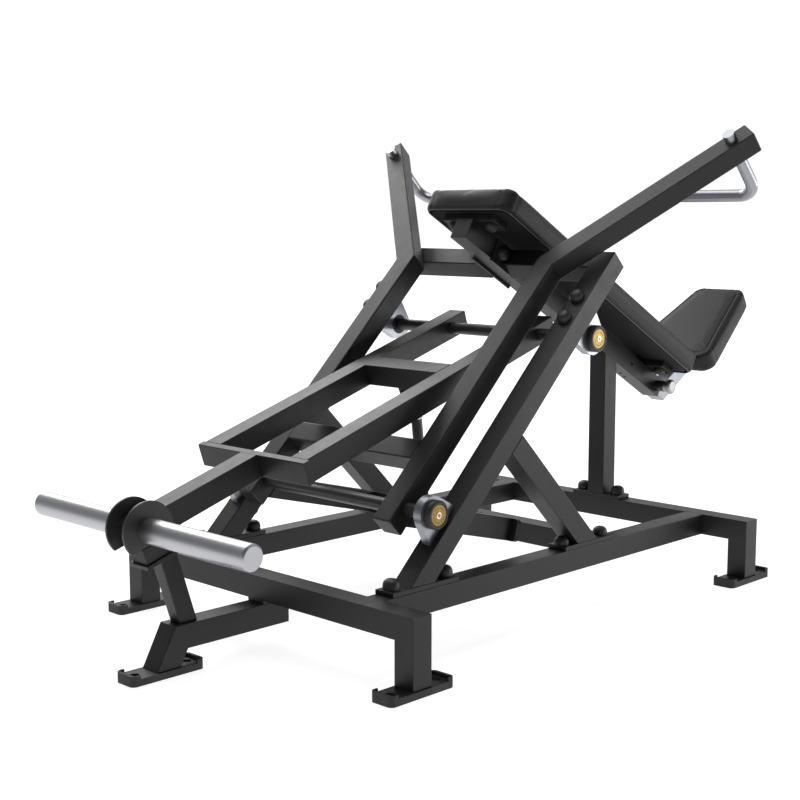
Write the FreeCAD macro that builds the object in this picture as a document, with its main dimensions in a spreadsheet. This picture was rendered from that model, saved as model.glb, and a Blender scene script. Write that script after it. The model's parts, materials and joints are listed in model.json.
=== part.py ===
import FreeCAD, Part
import os, math, re
import Sketcher
from FreeCAD import Vector, Rotation, Placement

# Plate-loaded reclined lever press: welded square-tube frame, a press frame
# that swings about the lower shaft, a weight lever about the upper shaft and a
# link rod between them.  X runs rearward, Y to the machine's left, Z up from the floor.
doc = FreeCAD.newDocument("lever_press")

P = {
    # square tube used throughout
    "tube_size": 50.0, "tube_wall": 3.0,
    # base, Z levels and X stations
    "base_top": 154.2, "front_bar_x": 25.0, "rear_bar_x": 1184.2, "base_half_width": 452.0,
    "rail_length": 1109.2, "rail_center_y": 303.0, "floor_cross_length": 556.0, "floor_cross_x": 802.0,
    "plate_top": 14.0, "foot_plate_thick": 6.0, "foot_plate_length": 158.0, "foot_plate_width": 50.0,
    "foot_hole_radius": 10.0, "foot_hole_spacing": 123.0,
    "shoe_length": 172.0, "shoe_width": 58.0, "shoe_side_height": 14.0, "shoe_rim_height": 21.0, "shoe_rim_width": 7.0, "shoe_corner": 12.0,
    "extension_top": 97.5,
    # stop
    "stop_post_depth": 40.0, "stop_post_width": 32.0, "stop_plate_length": 80.0, "stop_plate_width": 60.0, "stop_plate_thick": 8.0,
    "bumper_length": 70.0, "bumper_width": 48.0, "bumper_height": 39.8,
    # flange plates
    "flange_thick": 10.0, "upright_flange_length": 190.0, "brace_flange_length": 176.0, "post_flange_length": 146.0,
    "upper_cross_length": 247.0,
    "side_plate_length": 152.0, "side_plate_height": 56.0, "side_plate_thick": 6.0,
    # backrest
    "backrest_tube_length": 902.0, "mount_bar_length": 50.0, "mount_bar_width": 156.0, "mount_bar_thick": 15.0,
    "liner_length": 60.0, "liner_bore": 40.2,
    "pad_length": 894.0, "pad_width": 260.0, "pad_thick": 57.0, "pad_corner": 30.0,
    "board_length": 872.0, "board_width": 238.0, "board_thick": 12.0, "board_gap": 0.5,
    # bearings and shafts
    "shaft_radius": 14.0, "running_gap": 0.05, "housing_thick": 20.0, "housing_radius": 37.0, "housing_bore": 24.0,
    "bush_flange_radius": 30.0, "bush_flange_thick": 16.0, "bush_recess_radius": 23.6, "bush_recess_depth": 7.0,
    "cap_radius": 23.0, "cap_thick": 5.5, "cap_screw_radius": 4.0,
    # bolts with domed covers
    "dome_radius": 17.5, "dome_height": 22.0, "dome_round": 13.5, "low_dome_radius": 15.5, "low_dome_height": 13.0, "low_dome_round": 9.0,
    "mid_dome_radius": 16.5, "mid_dome_height": 18.5, "mid_dome_round": 12.5, "bolt_radius": 6.0, "bolt_hole_radius": 6.2,
    # press frame
    "press_start": -169.7, "press_mitre_outer": 544.0, "press_mitre_inner": 561.7, "press_inner_y": 191.5, "press_outer_y": 241.5,
    "press_cross_length": 383.0, "link_plate_length": 516.0, "link_plate_thick": 12.5,
    "grip_radius": 14.0, "grip_bend": 44.0,
    # weight lever
    "lever_rail_length": 799.0, "lever_rail_y": 136.0, "lever_cross_length": 222.0,
    "lever_plate_width": 336.0, "lever_plate_thick": 17.0, "centre_tube_length": 314.0,
    "horn_radius": 25.0, "horn_length": 308.0, "horn_wall": 5.0, "horn_chamfer": 4.0,
    "collar_radius": 57.3, "collar_thick": 5.0,
    "lug_thick": 8.0, "link_pin_radius": 6.0, "slot_extra": 2.6, "rod_radius": 12.5,
    # seat carriage
    "slide_size": 40.0, "slide_wall": 3.0,
    "seat_thick": 57.0, "seat_half_wide": 131.0, "seat_taper": 0.184, "seat_low": -46.0, "seat_high": 288.0,
    # pull pin
    "pin_radius": 5.0, "pin_housing_radius": 15.0, "pin_housing_length": 25.0, "knob_radius": 20.0, "knob_length": 14.0,
}

sheet = doc.addObject("Spreadsheet::Sheet", "Dims")
sheet_row = [0]


def cell(alias, value):
    sheet_row[0] += 1
    r = sheet_row[0]
    sheet.set("A%d" % r, alias)
    sheet.set("B%d" % r, repr(round(float(value), 6)))
    sheet.setAlias("B%d" % r, alias)


for key, val in P.items():
    cell(key, val)
doc.recompute()


def ex(text):
    return re.sub(r"[A-Za-z_][A-Za-z_0-9]*", lambda w: "Dims." + w.group(0), text)


def val(text):
    return total_of(text)


def total_of(text):
    # sum and product of sheet aliases and plain numbers, such as tube_size - 2 * tube_wall
    total = 0.0
    for sign, term in re.findall(r"([+-]?)\s*([A-Za-z_0-9.* ]+)", text):
        prod = 1.0
        for f in term.split("*"):
            f = f.strip()
            prod *= P[f] if f in P else float(f)
        total += -prod if sign == "-" else prod
    return total


counter = [0]


def tmp(kind, stem="aux"):
    counter[0] += 1
    return doc.addObject(kind, "%s_%03d" % (stem, counter[0]))


def box(lx, ly, lz, pl):
    o = tmp("Part::Box", "block")
    o.setExpression("Length", ex(lx))
    o.setExpression("Width", ex(ly))
    o.setExpression("Height", ex(lz))
    o.Placement = pl
    return o


def cyl(r, h, pl):
    o = tmp("Part::Cylinder", "round")
    o.setExpression("Radius", ex(r))
    o.setExpression("Height", ex(h))
    o.Placement = pl
    return o


def fuse(objs):
    if len(objs) == 1:
        return objs[0]
    o = tmp("Part::MultiFuse", "joined")
    o.Shapes = objs
    return o


def cut(base, tools):
    if not tools:
        return base
    o = tmp("Part::Cut", "cut")
    o.Base = base
    o.Tool = fuse(tools)
    return o


def fillet(base, test, r):
    doc.recompute()
    o = tmp("Part::Fillet", "rounded")
    o.Base = base
    edges = []
    for i, e in enumerate(base.Shape.Edges, 1):
        if test(e):
            edges.append((i, r, r))
    o.Edges = edges
    return o


def chamfer(base, test, r):
    doc.recompute()
    o = tmp("Part::Chamfer", "chamfered")
    o.Base = base
    o.Edges = [(i, r, r) for i, e in enumerate(base.Shape.Edges, 1) if test(e)]
    return o


NODES = []


def node(obj, name):
    obj.Label = name
    NODES.append(obj)
    return obj


def group(objs, name):
    o = tmp("Part::Compound", "set")
    o.Links = objs
    return node(o, name)


class Line:
    """A straight run in the XZ plane: a along it, p down from its top plane, y lateral."""

    def __init__(self, x, z, deg):
        self.o = Vector(x, 0, z)
        self.deg = deg
        c, s = math.cos(math.radians(deg)), math.sin(math.radians(deg))
        self.d = Vector(c, 0, s)
        self.w = Vector(-s, 0, c)

    def pt(self, a, y, p):
        return self.o + self.d * a - self.w * p + Vector(0, y, 0)

    def rot(self):
        return Rotation(Vector(0, 1, 0), -self.deg)

    def pl(self, a, y, p, extra=None):
        r = self.rot()
        if extra is not None:
            r = r.multiply(extra)
        return Placement(self.pt(a, y, p), r)

    def xz(self, a, p):
        v = self.pt(a, 0, p)
        return (v.x, v.z)


FLOOR = Line(0, 0, 0)
UPRIGHT = Line(358.6, 400.0, 44.55)
PRESS = Line(268.6, 400.0, 44.6)
LEVER = Line(-44.0, 400.0, 17.7)
BACK = Line(638.7, 882.0, -29.15)
SEAT = Line(1502.1, 536.6, 31.1)
LINKARM = Line(196.0, 313.6, -14.3)

LOW_AXIS = PRESS.pt(-119.6, 0, 25.0)
TOP_AXIS = LEVER.pt(793.3, 0, 25.0)
LINK_TOP = LEVER.pt(516.0, 0, 78.0)
LINK_LOW = LINKARM.pt(326.0, 0, 25.0)

ALONG_Y = Rotation(Vector(1, 0, 0), -90)      # local Z turned to +Y
TO_MINUS_Y = Rotation(Vector(1, 0, 0), 90)    # local Z turned to -Y


def ycyl(r, h, x, z, y0, side=1):
    """Cylinder lying across the machine from y0 outward to +Y (side 1) or -Y (side -1)."""
    return cyl(r, h, Placement(Vector(x, y0, z), ALONG_Y if side > 0 else TO_MINUS_Y))


def square_tube(line, a0, length, y, p0=0.0, closed=0, holes=(), size="tube_size", wall="tube_wall"):
    """Straight hollow square tube; closed -1, 1 or 2 leaves an end wall at the start, end or both."""
    s, w = P[size], P[wall]
    outer = box(length, size, size, line.pl(a0, y - s / 2, p0 + s))
    lead = w if closed in (-1, 2) else 0.0
    trim = {0: "", -1: " - " + wall, 1: " - " + wall, 2: " - 2*" + wall}[closed]
    inner = box(length + trim, size + " - 2*" + wall, size + " - 2*" + wall,
                line.pl(a0 + lead, y - s / 2 + w, p0 + s - w))
    return cut(outer, [inner] + list(holes))


def plane_of(body, role):
    return [f for f in body.Origin.OriginFeatures if f.Role == role][0]


def sketch_poly(body, role, pts, tag, circles=()):
    sk = body.newObject("Sketcher::SketchObject", tag + "_sketch")
    sk.AttachmentSupport = (plane_of(body, role), [""])
    sk.MapMode = "FlatFace"
    n = len(pts)
    for i in range(n):
        a, b = pts[i], pts[(i + 1) % n]
        sk.addGeometry(Part.LineSegment(Vector(a[0], a[1], 0), Vector(b[0], b[1], 0)), False)
    for i in range(n):
        sk.addConstraint(Sketcher.Constraint("Coincident", i, 2, (i + 1) % n, 1))
    for i, (x, y) in enumerate(pts):
        for kind, v, axis in (("DistanceX", x, -2), ("DistanceY", y, -1)):
            if abs(v) < 1e-6:
                sk.addConstraint(Sketcher.Constraint("PointOnObject", i, 1, axis))
                continue
            alias = "%s_%s%d" % (tag, "px" if kind == "DistanceX" else "pz", i)
            cell(alias, v)
            k = sk.addConstraint(Sketcher.Constraint(kind, -1, 1, i, 1, v))
            sk.setExpression("Constraints[%d]" % k, "Dims." + alias)
    for cx, cy, r in circles:
        sk.addGeometry(Part.Circle(Vector(cx, cy, 0), Vector(0, 0, 1), r), False)
    return sk


def pad_of(body, sk, width):
    pad = body.newObject("PartDesign::Pad", body.Name + "_pad")
    pad.Profile = sk
    pad.Midplane = True
    pad.setExpression("Length", ex(width))
    return pad


def mitred_tube(tag, role, outer, inner, place, width="tube_size", hollow="tube_size - 2*tube_wall", holes=()):
    """Tube with angled ends: the side outline is padded, then the hollow is cut through it."""
    body = doc.addObject("PartDesign::Body", tag + "_body")
    pad_of(body, sketch_poly(body, role, outer, tag), width)
    core = doc.addObject("PartDesign::Body", tag + "_core")
    pad_of(core, sketch_poly(core, role, inner, tag + "_in"), hollow)
    body.Placement = place
    core.Placement = place
    return cut(body, [core] + list(holes))


def plate(tag, role, pts, place, thick, circles=()):
    body = doc.addObject("PartDesign::Body", tag + "_body")
    pad_of(body, sketch_poly(body, role, pts, tag, circles), thick)
    body.Placement = place
    return body


def meet(l1, p1, l2, p2):
    """XZ point where plane p1 of run l1 meets plane p2 of run l2."""
    a, b = l1.pt(0, 0, p1), l2.pt(0, 0, p2)
    d1, d2 = l1.d, l2.d
    det = d1.x * (-d2.z) + d2.x * d1.z
    t = ((b.x - a.x) * (-d2.z) + d2.x * (b.z - a.z)) / det
    v = a + d1 * t
    return (v.x, v.z)


T, W = P["tube_size"], P["tube_wall"]
HB, BT = P["base_half_width"], P["base_top"]


# ---------------------------------------------------------------- bolts with domed covers
# each entry: point on the seating face, outward direction, shank depth
BOLTS = []


def dome_bolt(pt, out, depth):
    r = Rotation(Vector(0, 0, 1), out)
    # tall covers on the flanges of uprights and rear post, middle ones at the braces and upright fronts, flat ones underneath
    size = "low_dome" if out.z < -0.1 else "mid_dome"
    if out == UP and not 600.0 < pt.x < 800.0:
        size = "dome"
    head = cyl(size + "_radius", size + "_height", Placement(pt, r))
    top = pt + Vector(out).normalize() * P[size + "_height"]
    head = fillet(head, lambda e: (e.CenterOfMass - top).Length < 0.5, P[size + "_round"])
    o = tmp("Part::Cylinder", "shank")
    o.setExpression("Radius", ex("bolt_radius"))
    o.Height = depth
    o.Placement = Placement(pt - Vector(out).normalize() * depth, r)
    return fuse([head, o])


def bolt_hole(pt, out, depth):
    o = tmp("Part::Cylinder", "boltway")
    o.setExpression("Radius", ex("bolt_hole_radius"))
    o.Height = depth + 4
    o.Placement = Placement(pt - Vector(out).normalize() * (depth + 2), Rotation(Vector(0, 0, 1), out))
    return o


def add_bolt(pt, out, depth):
    BOLTS.append((pt, out, depth))
    return (pt, out, depth)


UP = Vector(0, 0, 1)
FT = P["flange_thick"]
rail_bolts = {1: [], -1: []}
for side in (1, -1):
    for x in (92.0, 244.0, 628.0, 770.0):
        rail_bolts[side].append(add_bolt(Vector(x, side * 303.0, BT + FT), UP, 16.0))
post_bolts = [add_bolt(Vector(1184.2, y, BT + FT), UP, 16.0) for y in (-54.0, 54.0)]
upright_bolts = {1: [], -1: []}
LOW_AL = (LOW_AXIS - UPRIGHT.o).dot(UPRIGHT.d)
TOP_AL = (TOP_AXIS - UPRIGHT.o).dot(UPRIGHT.d)
for side in (1, -1):
    for da in (-31.0, 31.0):
        upright_bolts[side].append(add_bolt(UPRIGHT.pt(TOP_AL + da, side * 303.0, 0.0), UPRIGHT.w, 58.0))
        upright_bolts[side].append(add_bolt(UPRIGHT.pt(LOW_AL + da, side * 303.0, T), UPRIGHT.w * -1, 58.0))
side_bolts = []
for side in (1, -1):
    for a in (124.0, 226.0):
        side_bolts.append(add_bolt(BACK.pt(a, side * 31.0, 25.0), Vector(0, side, 0), 12.0))
bar_bolts = []
for a in (35.0, 828.0):
    for y in (-56.0, 56.0):
        bar_bolts.append(add_bolt(BACK.pt(a, y, 0.0), BACK.w * -1, 24.0))

# ---------------------------------------------------------------- base frame
# crossbars with 45 degree mitres at both ends; the legs meet them there
in_top, in_low = BT - W, BT - T + W


def crossbar(tag, x, holes=()):
    outer = [(-HB, BT), (HB, BT), (HB - T, BT - T), (-HB + T, BT - T)]
    inner = [(-HB + W, in_top), (HB - W, in_top), (HB - T + W, in_low), (-HB + T - W, in_low)]
    return mitred_tube(tag, "YZ_Plane", outer, inner, Placement(Vector(x, 0, 0), Rotation()), holes=holes)


node(crossbar("front_crossbar", P["front_bar_x"]), "front_crossbar")
node(crossbar("rear_crossbar", P["rear_bar_x"], [bolt_hole(*b) for b in post_bolts]), "rear_crossbar")

pt_z = P["plate_top"]


def leg(tag, x, side):
    o_ = [(side * HB, BT), (side * HB, pt_z), (side * (HB - T), pt_z), (side * (HB - T), BT - T)]
    i_ = [(side * (HB - W), BT - W), (side * (HB - W), pt_z), (side * (HB - T + W), pt_z), (side * (HB - T + W), BT - T + W)]
    return mitred_tube(tag, "YZ_Plane", o_, i_, Placement(Vector(x, 0, 0), Rotation()))


group([leg("front_leg_l", P["front_bar_x"], 1), leg("front_leg_r", P["front_bar_x"], -1)], "front_legs")
group([leg("rear_leg_l", P["rear_bar_x"], 1), leg("rear_leg_r", P["rear_bar_x"], -1)], "rear_legs")

for side, name in ((1, "left_side_rail"), (-1, "right_side_rail")):
    node(square_tube(Line(0, BT, 0), P["front_bar_x"] + T / 2, "rail_length", side * P["rail_center_y"],
                     holes=[bolt_hole(*b) for b in rail_bolts[side]]), name)

# floor cross tube between the rails
fx = box("tube_size", "floor_cross_length", "tube_size", Placement(Vector(777.0, -278.0, BT - T), Rotation()))
fi = box("tube_size - 2*tube_wall", "floor_cross_length", "tube_size - 2*tube_wall",
         Placement(Vector(777.0 + W, -278.0, BT - T + W), Rotation()))
node(cut(fx, [fi]), "floor_cross_tube")

# centre extension under the front crossbar and its raked leg
ET = P["extension_top"]
leg_deg = 61.7
LEGRUN = Line(-221.0, ET, leg_deg)        # front plane of the raked leg, a is upward along it
EXT = Line(0, ET, 0)
in_corner = meet(EXT, T, LEGRUN, T)
foot_f = (LEGRUN.pt((pt_z - ET) / math.sin(math.radians(leg_deg)), 0, 0).x, pt_z)
foot_r = (meet(LEGRUN, T, Line(0, pt_z, 0), 0)[0], pt_z)
wi_top = meet(EXT, W, LEGRUN, W)
wi_low = meet(EXT, T - W, LEGRUN, T - W)
node(mitred_tube("centre_extension_tube", "XZ_Plane",
                 [(-221.0, ET), (68.0, ET), (68.0, ET - T), in_corner],
                 [wi_top, (68.0, ET - W), (68.0, ET - T + W), wi_low], Placement()), "centre_extension_tube")
fi_f = (meet(LEGRUN, W, Line(0, pt_z, 0), 0)[0], pt_z)
fi_r = (meet(LEGRUN, T - W, Line(0, pt_z, 0), 0)[0], pt_z)
node(mitred_tube("centre_leg", "XZ_Plane",
                 [(-221.0, ET), in_corner, foot_r, foot_f],
                 [wi_top, wi_low, fi_r, fi_f], Placement()), "centre_leg")

FEET = [(P["front_bar_x"], 427.0), (P["front_bar_x"], -427.0), (P["rear_bar_x"], 427.0), (P["rear_bar_x"], -427.0), (-240.0, 0.0)]
plates, shoes = [], []
for fx_, fy_ in FEET:
    L_, Wd, Tk = P["foot_plate_length"], P["foot_plate_width"], P["foot_plate_thick"]
    pb = box("foot_plate_length", "foot_plate_width", "foot_plate_thick", Placement(Vector(fx_ - L_ / 2, fy_ - Wd / 2, pt_z - Tk), Rotation()))
    hs = [cyl("foot_hole_radius", "foot_plate_thick", Placement(Vector(fx_ + sx * P["foot_hole_spacing"] / 2, fy_, pt_z - Tk), Rotation())) for sx in (-1, 1)]
    plates.append(cut(pb, hs))
    SL, SW = P["shoe_length"], P["shoe_width"]
    sb = box("shoe_length", "shoe_width", "shoe_rim_height", Placement(Vector(fx_ - SL / 2, fy_ - SW / 2, 0), Rotation()))
    sb = fillet(sb, lambda e: abs(e.BoundBox.ZLength - P["shoe_rim_height"]) < 0.1 and e.BoundBox.XLength < 0.1 and e.BoundBox.YLength < 0.1, P["shoe_corner"])
    well = box("foot_plate_length", "foot_plate_width", "shoe_rim_height", Placement(Vector(fx_ - L_ / 2, fy_ - Wd / 2, pt_z - Tk), Rotation()))
    rw = P["shoe_rim_width"] + 12.0
    dip = box("shoe_length - 38", "shoe_width", "shoe_rim_height", Placement(Vector(fx_ - SL / 2 + 19.0, fy_ - SW / 2, P["shoe_side_height"]), Rotation()))
    hs2 = [cyl("foot_hole_radius", "shoe_rim_height", Placement(Vector(fx_ + sx * P["foot_hole_spacing"] / 2, fy_, 0), Rotation())) for sx in (-1, 1)]
    shoes.append(cut(sb, [well, dip] + hs2))
group(plates, "foot_plates")
group(shoes, "rubber_feet")

# ---------------------------------------------------------------- stop under the lever
POSTRUN = Line(LEVER.pt(-244.0, 0, 98.0).x, LEVER.pt(-244.0, 0, 98.0).z, 17.7)
front_top = LEVER.xz(-244.0, 98.0)
rear_top = LEVER.xz(-204.0, 98.0)
k = math.tan(math.radians(17.7))
front_low = (front_top[0] + (front_top[1] - ET) * k, ET)
rear_low = (rear_top[0] + (rear_top[1] - ET) * k, ET)
wsh = W / math.cos(math.radians(17.7))
node(mitred_tube("stop_post", "XZ_Plane", [front_top, rear_top, rear_low, front_low],
                 [LEVER.xz(-241.0, 98.0), LEVER.xz(-207.0, 98.0), (rear_low[0] - wsh, ET), (front_low[0] + wsh, ET)],
                 Placement(), width="stop_post_width", hollow="stop_post_width - 2*tube_wall"), "stop_post")
node(box("stop_plate_length", "stop_plate_width", "stop_plate_thick", LEVER.pl(-284.0, -30.0, 98.0)), "stop_plate")
bump = box("bumper_length", "bumper_width", "bumper_height", LEVER.pl(-279.0, -24.0, 90.0))
bump = chamfer(bump, lambda e: abs((e.CenterOfMass - LEVER.pt(-244.0, 0, 90.0 - P["bumper_height"])).dot(LEVER.w)) < 0.2, 8.0)
node(bump, "stop_bumper")

# ---------------------------------------------------------------- uprights, braces, post
zf = BT + FT
FLANGE_TOP = Line(0, zf, 0)
u_fb = meet(UPRIGHT, 0, FLANGE_TOP, 0)
u_rb = meet(UPRIGHT, T, FLANGE_TOP, 0)
u_fbi = meet(UPRIGHT, W, FLANGE_TOP, 0)
u_rbi = meet(UPRIGHT, T - W, FLANGE_TOP, 0)
for side, name in ((1, "left_upright"), (-1, "right_upright")):
    node(mitred_tube(name, "XZ_Plane", [u_fb, u_rb, UPRIGHT.xz(583.0, T), UPRIGHT.xz(583.0, 0)],
                     [u_fbi, u_rbi, UPRIGHT.xz(580.0, T - W), UPRIGHT.xz(580.0, W)],
                     Placement(Vector(0, side * 303.0, 0), Rotation()),
                     holes=[bolt_hole(*b) for b in upright_bolts[side]]), name)

flanges = []
for side in (1, -1):
    for x0, ln in ((72.0, "upright_flange_length"), (612.0, "brace_flange_length")):
        b = box(ln, "tube_size", "flange_thick", Placement(Vector(x0, side * 303.0 - 25.0, BT), Rotation()))
        flanges.append(cut(b, [bolt_hole(*q) for q in rail_bolts[side] if x0 < q[0].x < x0 + P[ln]]))
b = box("tube_size", "post_flange_length", "flange_thick", Placement(Vector(1159.2, -73.0, BT), Rotation()))
flanges.append(cut(b, [bolt_hole(*q) for q in post_bolts]))
flanges.append(box("tube_size", "tube_size", "base_top - tube_size - extension_top", Placement(Vector(0, -25.0, ET), Rotation())))
group(flanges, "frame_flanges")

BRACE = Line(461.3, 429.5, -44.9)
br = [meet(UPRIGHT, T, BRACE, T), meet(UPRIGHT, T, BRACE, 0), meet(BRACE, 0, FLANGE_TOP, 0), meet(BRACE, T, FLANGE_TOP, 0)]
bri = [meet(UPRIGHT, T, BRACE, T - W), meet(UPRIGHT, T, BRACE, W), meet(BRACE, W, FLANGE_TOP, 0), meet(BRACE, T - W, FLANGE_TOP, 0)]
for side, name in ((1, "left_rear_brace"), (-1, "right_rear_brace")):
    node(mitred_tube(name, "XZ_Plane", br, bri, Placement(Vector(0, side * 303.0, 0), Rotation())), name)

zb0 = meet(BACK, T, Line(1159.2, 0, 90.0001), 0)[1] - 0.02
zb1 = meet(BACK, T, Line(1209.2, 0, 90.0001), 0)[1] - 0.02
zi0 = meet(BACK, T, Line(1159.2 + W, 0, 90.0001), 0)[1]
zi1 = meet(BACK, T, Line(1209.2 - W, 0, 90.0001), 0)[1]
node(mitred_tube("rear_post", "XZ_Plane", [(1159.2, zf), (1209.2, zf), (1209.2, zb1), (1159.2, zb0)],
                 [(1159.2 + W, zf), (1209.2 - W, zf), (1209.2 - W, zi1), (1159.2 + W, zi0)], Placement()), "rear_post")

# upper cross tubes run from each upright to a plate on the side of the backrest tube
crosses = []
for side in (1, -1):
    y0 = 31.0 if side > 0 else -278.0
    o = box("tube_size", "upper_cross_length", "tube_size", UPRIGHT.pl(533.0, y0, T))
    i = box("tube_size - 2*tube_wall", "upper_cross_length", "tube_size - 2*tube_wall", UPRIGHT.pl(533.0 + W, y0, T - W))
    crosses.append(cut(o, [i]))
group(crosses, "upper_cross_tubes")
sides = []
for side in (1, -1):
    y0 = 25.0 if side > 0 else -31.0
    b = box("side_plate_length", "side_plate_thick", "side_plate_height", BACK.pl(98.0, y0, 56.0))
    sides.append(cut(b, [bolt_hole(*q) for q in side_bolts if q[0].y * side > 0]))
group(sides, "backrest_side_plates")

# ---------------------------------------------------------------- backrest
pin_al = 884.0
pin_hole = ycyl("pin_radius + running_gap", "tube_size", BACK.pt(pin_al, 0, 25).x, BACK.pt(pin_al, 0, 25).z, 0.0, -1)
small = []
for a, r_ in ((753.0, 4.0), (776.0, 4.0)):
    o = tmp("Part::Cylinder", "drain")
    o.Radius = r_
    o.Height = 10.0
    o.Placement = BACK.pl(a, 8.0, 55.0)
    small.append(o)
o = tmp("Part::Cylinder", "sidehole")
o.Radius = 4.0
o.Height = 10.0
o.Placement = Placement(BACK.pt(746.0, -18.0, 25.0), TO_MINUS_Y)
small.append(o)
node(square_tube(BACK, 0.0, "backrest_tube_length", 0.0, closed=-1,
                 holes=[bolt_hole(*q) for q in side_bolts] + [pin_hole] + small), "backrest_tube")
li = P["tube_size"] - 2 * P["tube_wall"]
l_out = box("liner_length", "tube_size - 2*tube_wall - 0.1", "tube_size - 2*tube_wall - 0.1", BACK.pl(842.0, -li / 2 + 0.05, T - W - 0.05))
l_in = box("liner_length", "liner_bore", "liner_bore", BACK.pl(842.0, -P["liner_bore"] / 2, 25.0 + P["liner_bore"] / 2))
pin_hole2 = ycyl("pin_radius + running_gap", "tube_size", BACK.pt(pin_al, 0, 25).x, BACK.pt(pin_al, 0, 25).z, 0.0, -1)
node(cut(l_out, [l_in, pin_hole2]), "seat_guide_liner")

bars = []
for a in (10.0, 803.0):
    b = box("mount_bar_length", "mount_bar_width", "mount_bar_thick", BACK.pl(a, -78.0, 0.0))
    bars.append(cut(b, [bolt_hole(*q) for q in bar_bolts if abs((q[0] - BACK.pt(a + 25, 0, 0)).dot(BACK.d)) < 30]))
group(bars, "pad_mounting_bars")


def pad_edges(axis, length):
    return lambda e: abs(abs((e.Vertexes[-1].Point - e.Vertexes[0].Point).dot(axis)) - length) < 0.05 and abs(e.Length - length) < 0.05


bd = box("board_length", "board_width", "board_thick", BACK.pl(-6.0, -119.0, -15.0))
bd = fillet(bd, pad_edges(BACK.w, P["board_thick"]), 22.0)
board_holes = [bolt_hole(*q) for q in bar_bolts]
node(cut(bd, board_holes), "back_pad_board")
pd = box("pad_length", "pad_width", "pad_thick", BACK.pl(-17.0, -130.0, -15.0))
pd = fillet(pd, pad_edges(BACK.w, P["pad_thick"]), P["pad_corner"])
well = box("board_length + 2*board_gap", "board_width + 2*board_gap", "board_thick + board_gap",
           BACK.pl(-6.0 - P["board_gap"], -119.0 - P["board_gap"], -15.0))
node(cut(pd, [well]), "back_pad")

# ---------------------------------------------------------------- bearings
def housing(axis, al, p_face, side, tag):
    """Teardrop housing standing on the upright's face at depth p_face, bored for its bush."""
    c = axis
    loc = Line(c.x, c.z, UPRIGHT.deg)
    dist = (c - UPRIGHT.o).dot(UPRIGHT.w) + p_face      # signed height of the axis over that face
    s = 1.0 if dist > 0 else -1.0
    d, R, hb = abs(dist), P["housing_radius"], 50.0
    L2 = math.hypot(hb, d)
    base_ang = math.atan2(d, hb)
    tl = math.sqrt(L2 * L2 - R * R)
    ang = base_ang + math.asin(R / L2)
    tx, tz = -hb + tl * math.cos(ang), -d + tl * math.sin(ang)
    body = doc.addObject("PartDesign::Body", tag + "_body")
    sk = body.newObject("Sketcher::SketchObject", tag + "_sketch")
    sk.AttachmentSupport = (plane_of(body, "XZ_Plane"), [""])
    sk.MapMode = "FlatFace"

    def V(x, z):
        return Vector(x, s * z, 0)
    top = V(0, R)
    sk.addGeometry(Part.LineSegment(V(-hb, -d), V(tx, tz)), False)
    sk.addGeometry(Part.Arc(V(tx, tz), top, V(-tx, tz)), False)
    sk.addGeometry(Part.LineSegment(V(-tx, tz), V(hb, -d)), False)
    sk.addGeometry(Part.LineSegment(V(hb, -d), V(-hb, -d)), False)
    sk.addGeometry(Part.Circle(Vector(0, 0, 0), Vector(0, 0, 1), P["housing_bore"]), False)
    kk = sk.addConstraint(Sketcher.Constraint("Radius", 4, P["housing_bore"]))
    sk.setExpression("Constraints[%d]" % kk, "Dims.housing_bore")
    pad_of(body, sk, "housing_thick")
    body.Placement = Placement(Vector(c.x, side * 303.0, c.z), UPRIGHT.rot())
    return body


bolt_ways = []
houses, bushes = [], []
for side in (1, -1):
    for axis, pf, tag in ((LOW_AXIS, 0.0, "low"), (TOP_AXIS, T, "top")):
        hz = housing(axis, 0, pf, side, "housing_%s_%s" % (tag, "l" if side > 0 else "r"))
        lines = [q for q in upright_bolts[side]
                 if abs((q[0] - axis).dot(UPRIGHT.d)) < 40]
        tips = []
        for q in lines:
            o = tmp("Part::Cylinder", "tapped")
            o.setExpression("Radius", ex("bolt_hole_radius"))
            o.Height = 24.0
            dirv = Vector(q[1]) * -1
            o.Placement = Placement(q[0] + dirv * 46.0, Rotation(Vector(0, 0, 1), dirv))
            tips.append(o)
        houses.append(cut(hz, tips))
        # flanged bush: sleeve in the housing, flange with a shallow recess outside
        y_in, y_out = side * 293.0, side * 313.0
        sleeve = ycyl("housing_bore - 0.05", "housing_thick", axis.x, axis.z, y_in, side)
        fl = ycyl("bush_flange_radius", "bush_flange_thick", axis.x, axis.z, y_out, side)
        y_front = y_out + side * P["bush_flange_thick"]
        fl = chamfer(fl, lambda e: abs(e.CenterOfMass.y - y_front) < 0.01 and e.Length > 50, 3.6)
        bore = ycyl("shaft_radius + running_gap", "housing_thick + bush_flange_thick", axis.x, axis.z, y_in, side)
        rec = ycyl("bush_recess_radius", "bush_recess_depth", axis.x, axis.z,
                   side * (313.0 + P["bush_flange_thick"] - P["bush_recess_depth"]), side)
        bushes.append(cut(fuse([sleeve, fl]), [bore, rec]))
group(houses, "bearing_housings")
group(bushes, "bearing_bushes")

# shafts end 3 mm inside the bush recess floor; the caps sit on them inside the recess
half = 313.0 + P["bush_flange_thick"] - P["bush_recess_depth"] + 0.3


def shaft(axis, name):
    al = name + "_len"
    P[al] = 2 * half
    cell(al, 2 * half)
    node(ycyl("shaft_radius", al, axis.x, axis.z, -half, 1), name)


def caps(axis, name):
    out = []
    for side in (1, -1):
        c = ycyl("cap_radius", "cap_thick", axis.x, axis.z, side * half, side)
        face = side * (half + P["cap_thick"])
        c = chamfer(c, lambda e: abs(e.CenterOfMass.y - face) < 0.01 and e.Length > 50, 0.8)
        s_ = ycyl("cap_screw_radius", "cap_thick * 0.35", axis.x, axis.z, face, side)
        out.append(fuse([c, s_]))
    group(out, name)


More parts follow.
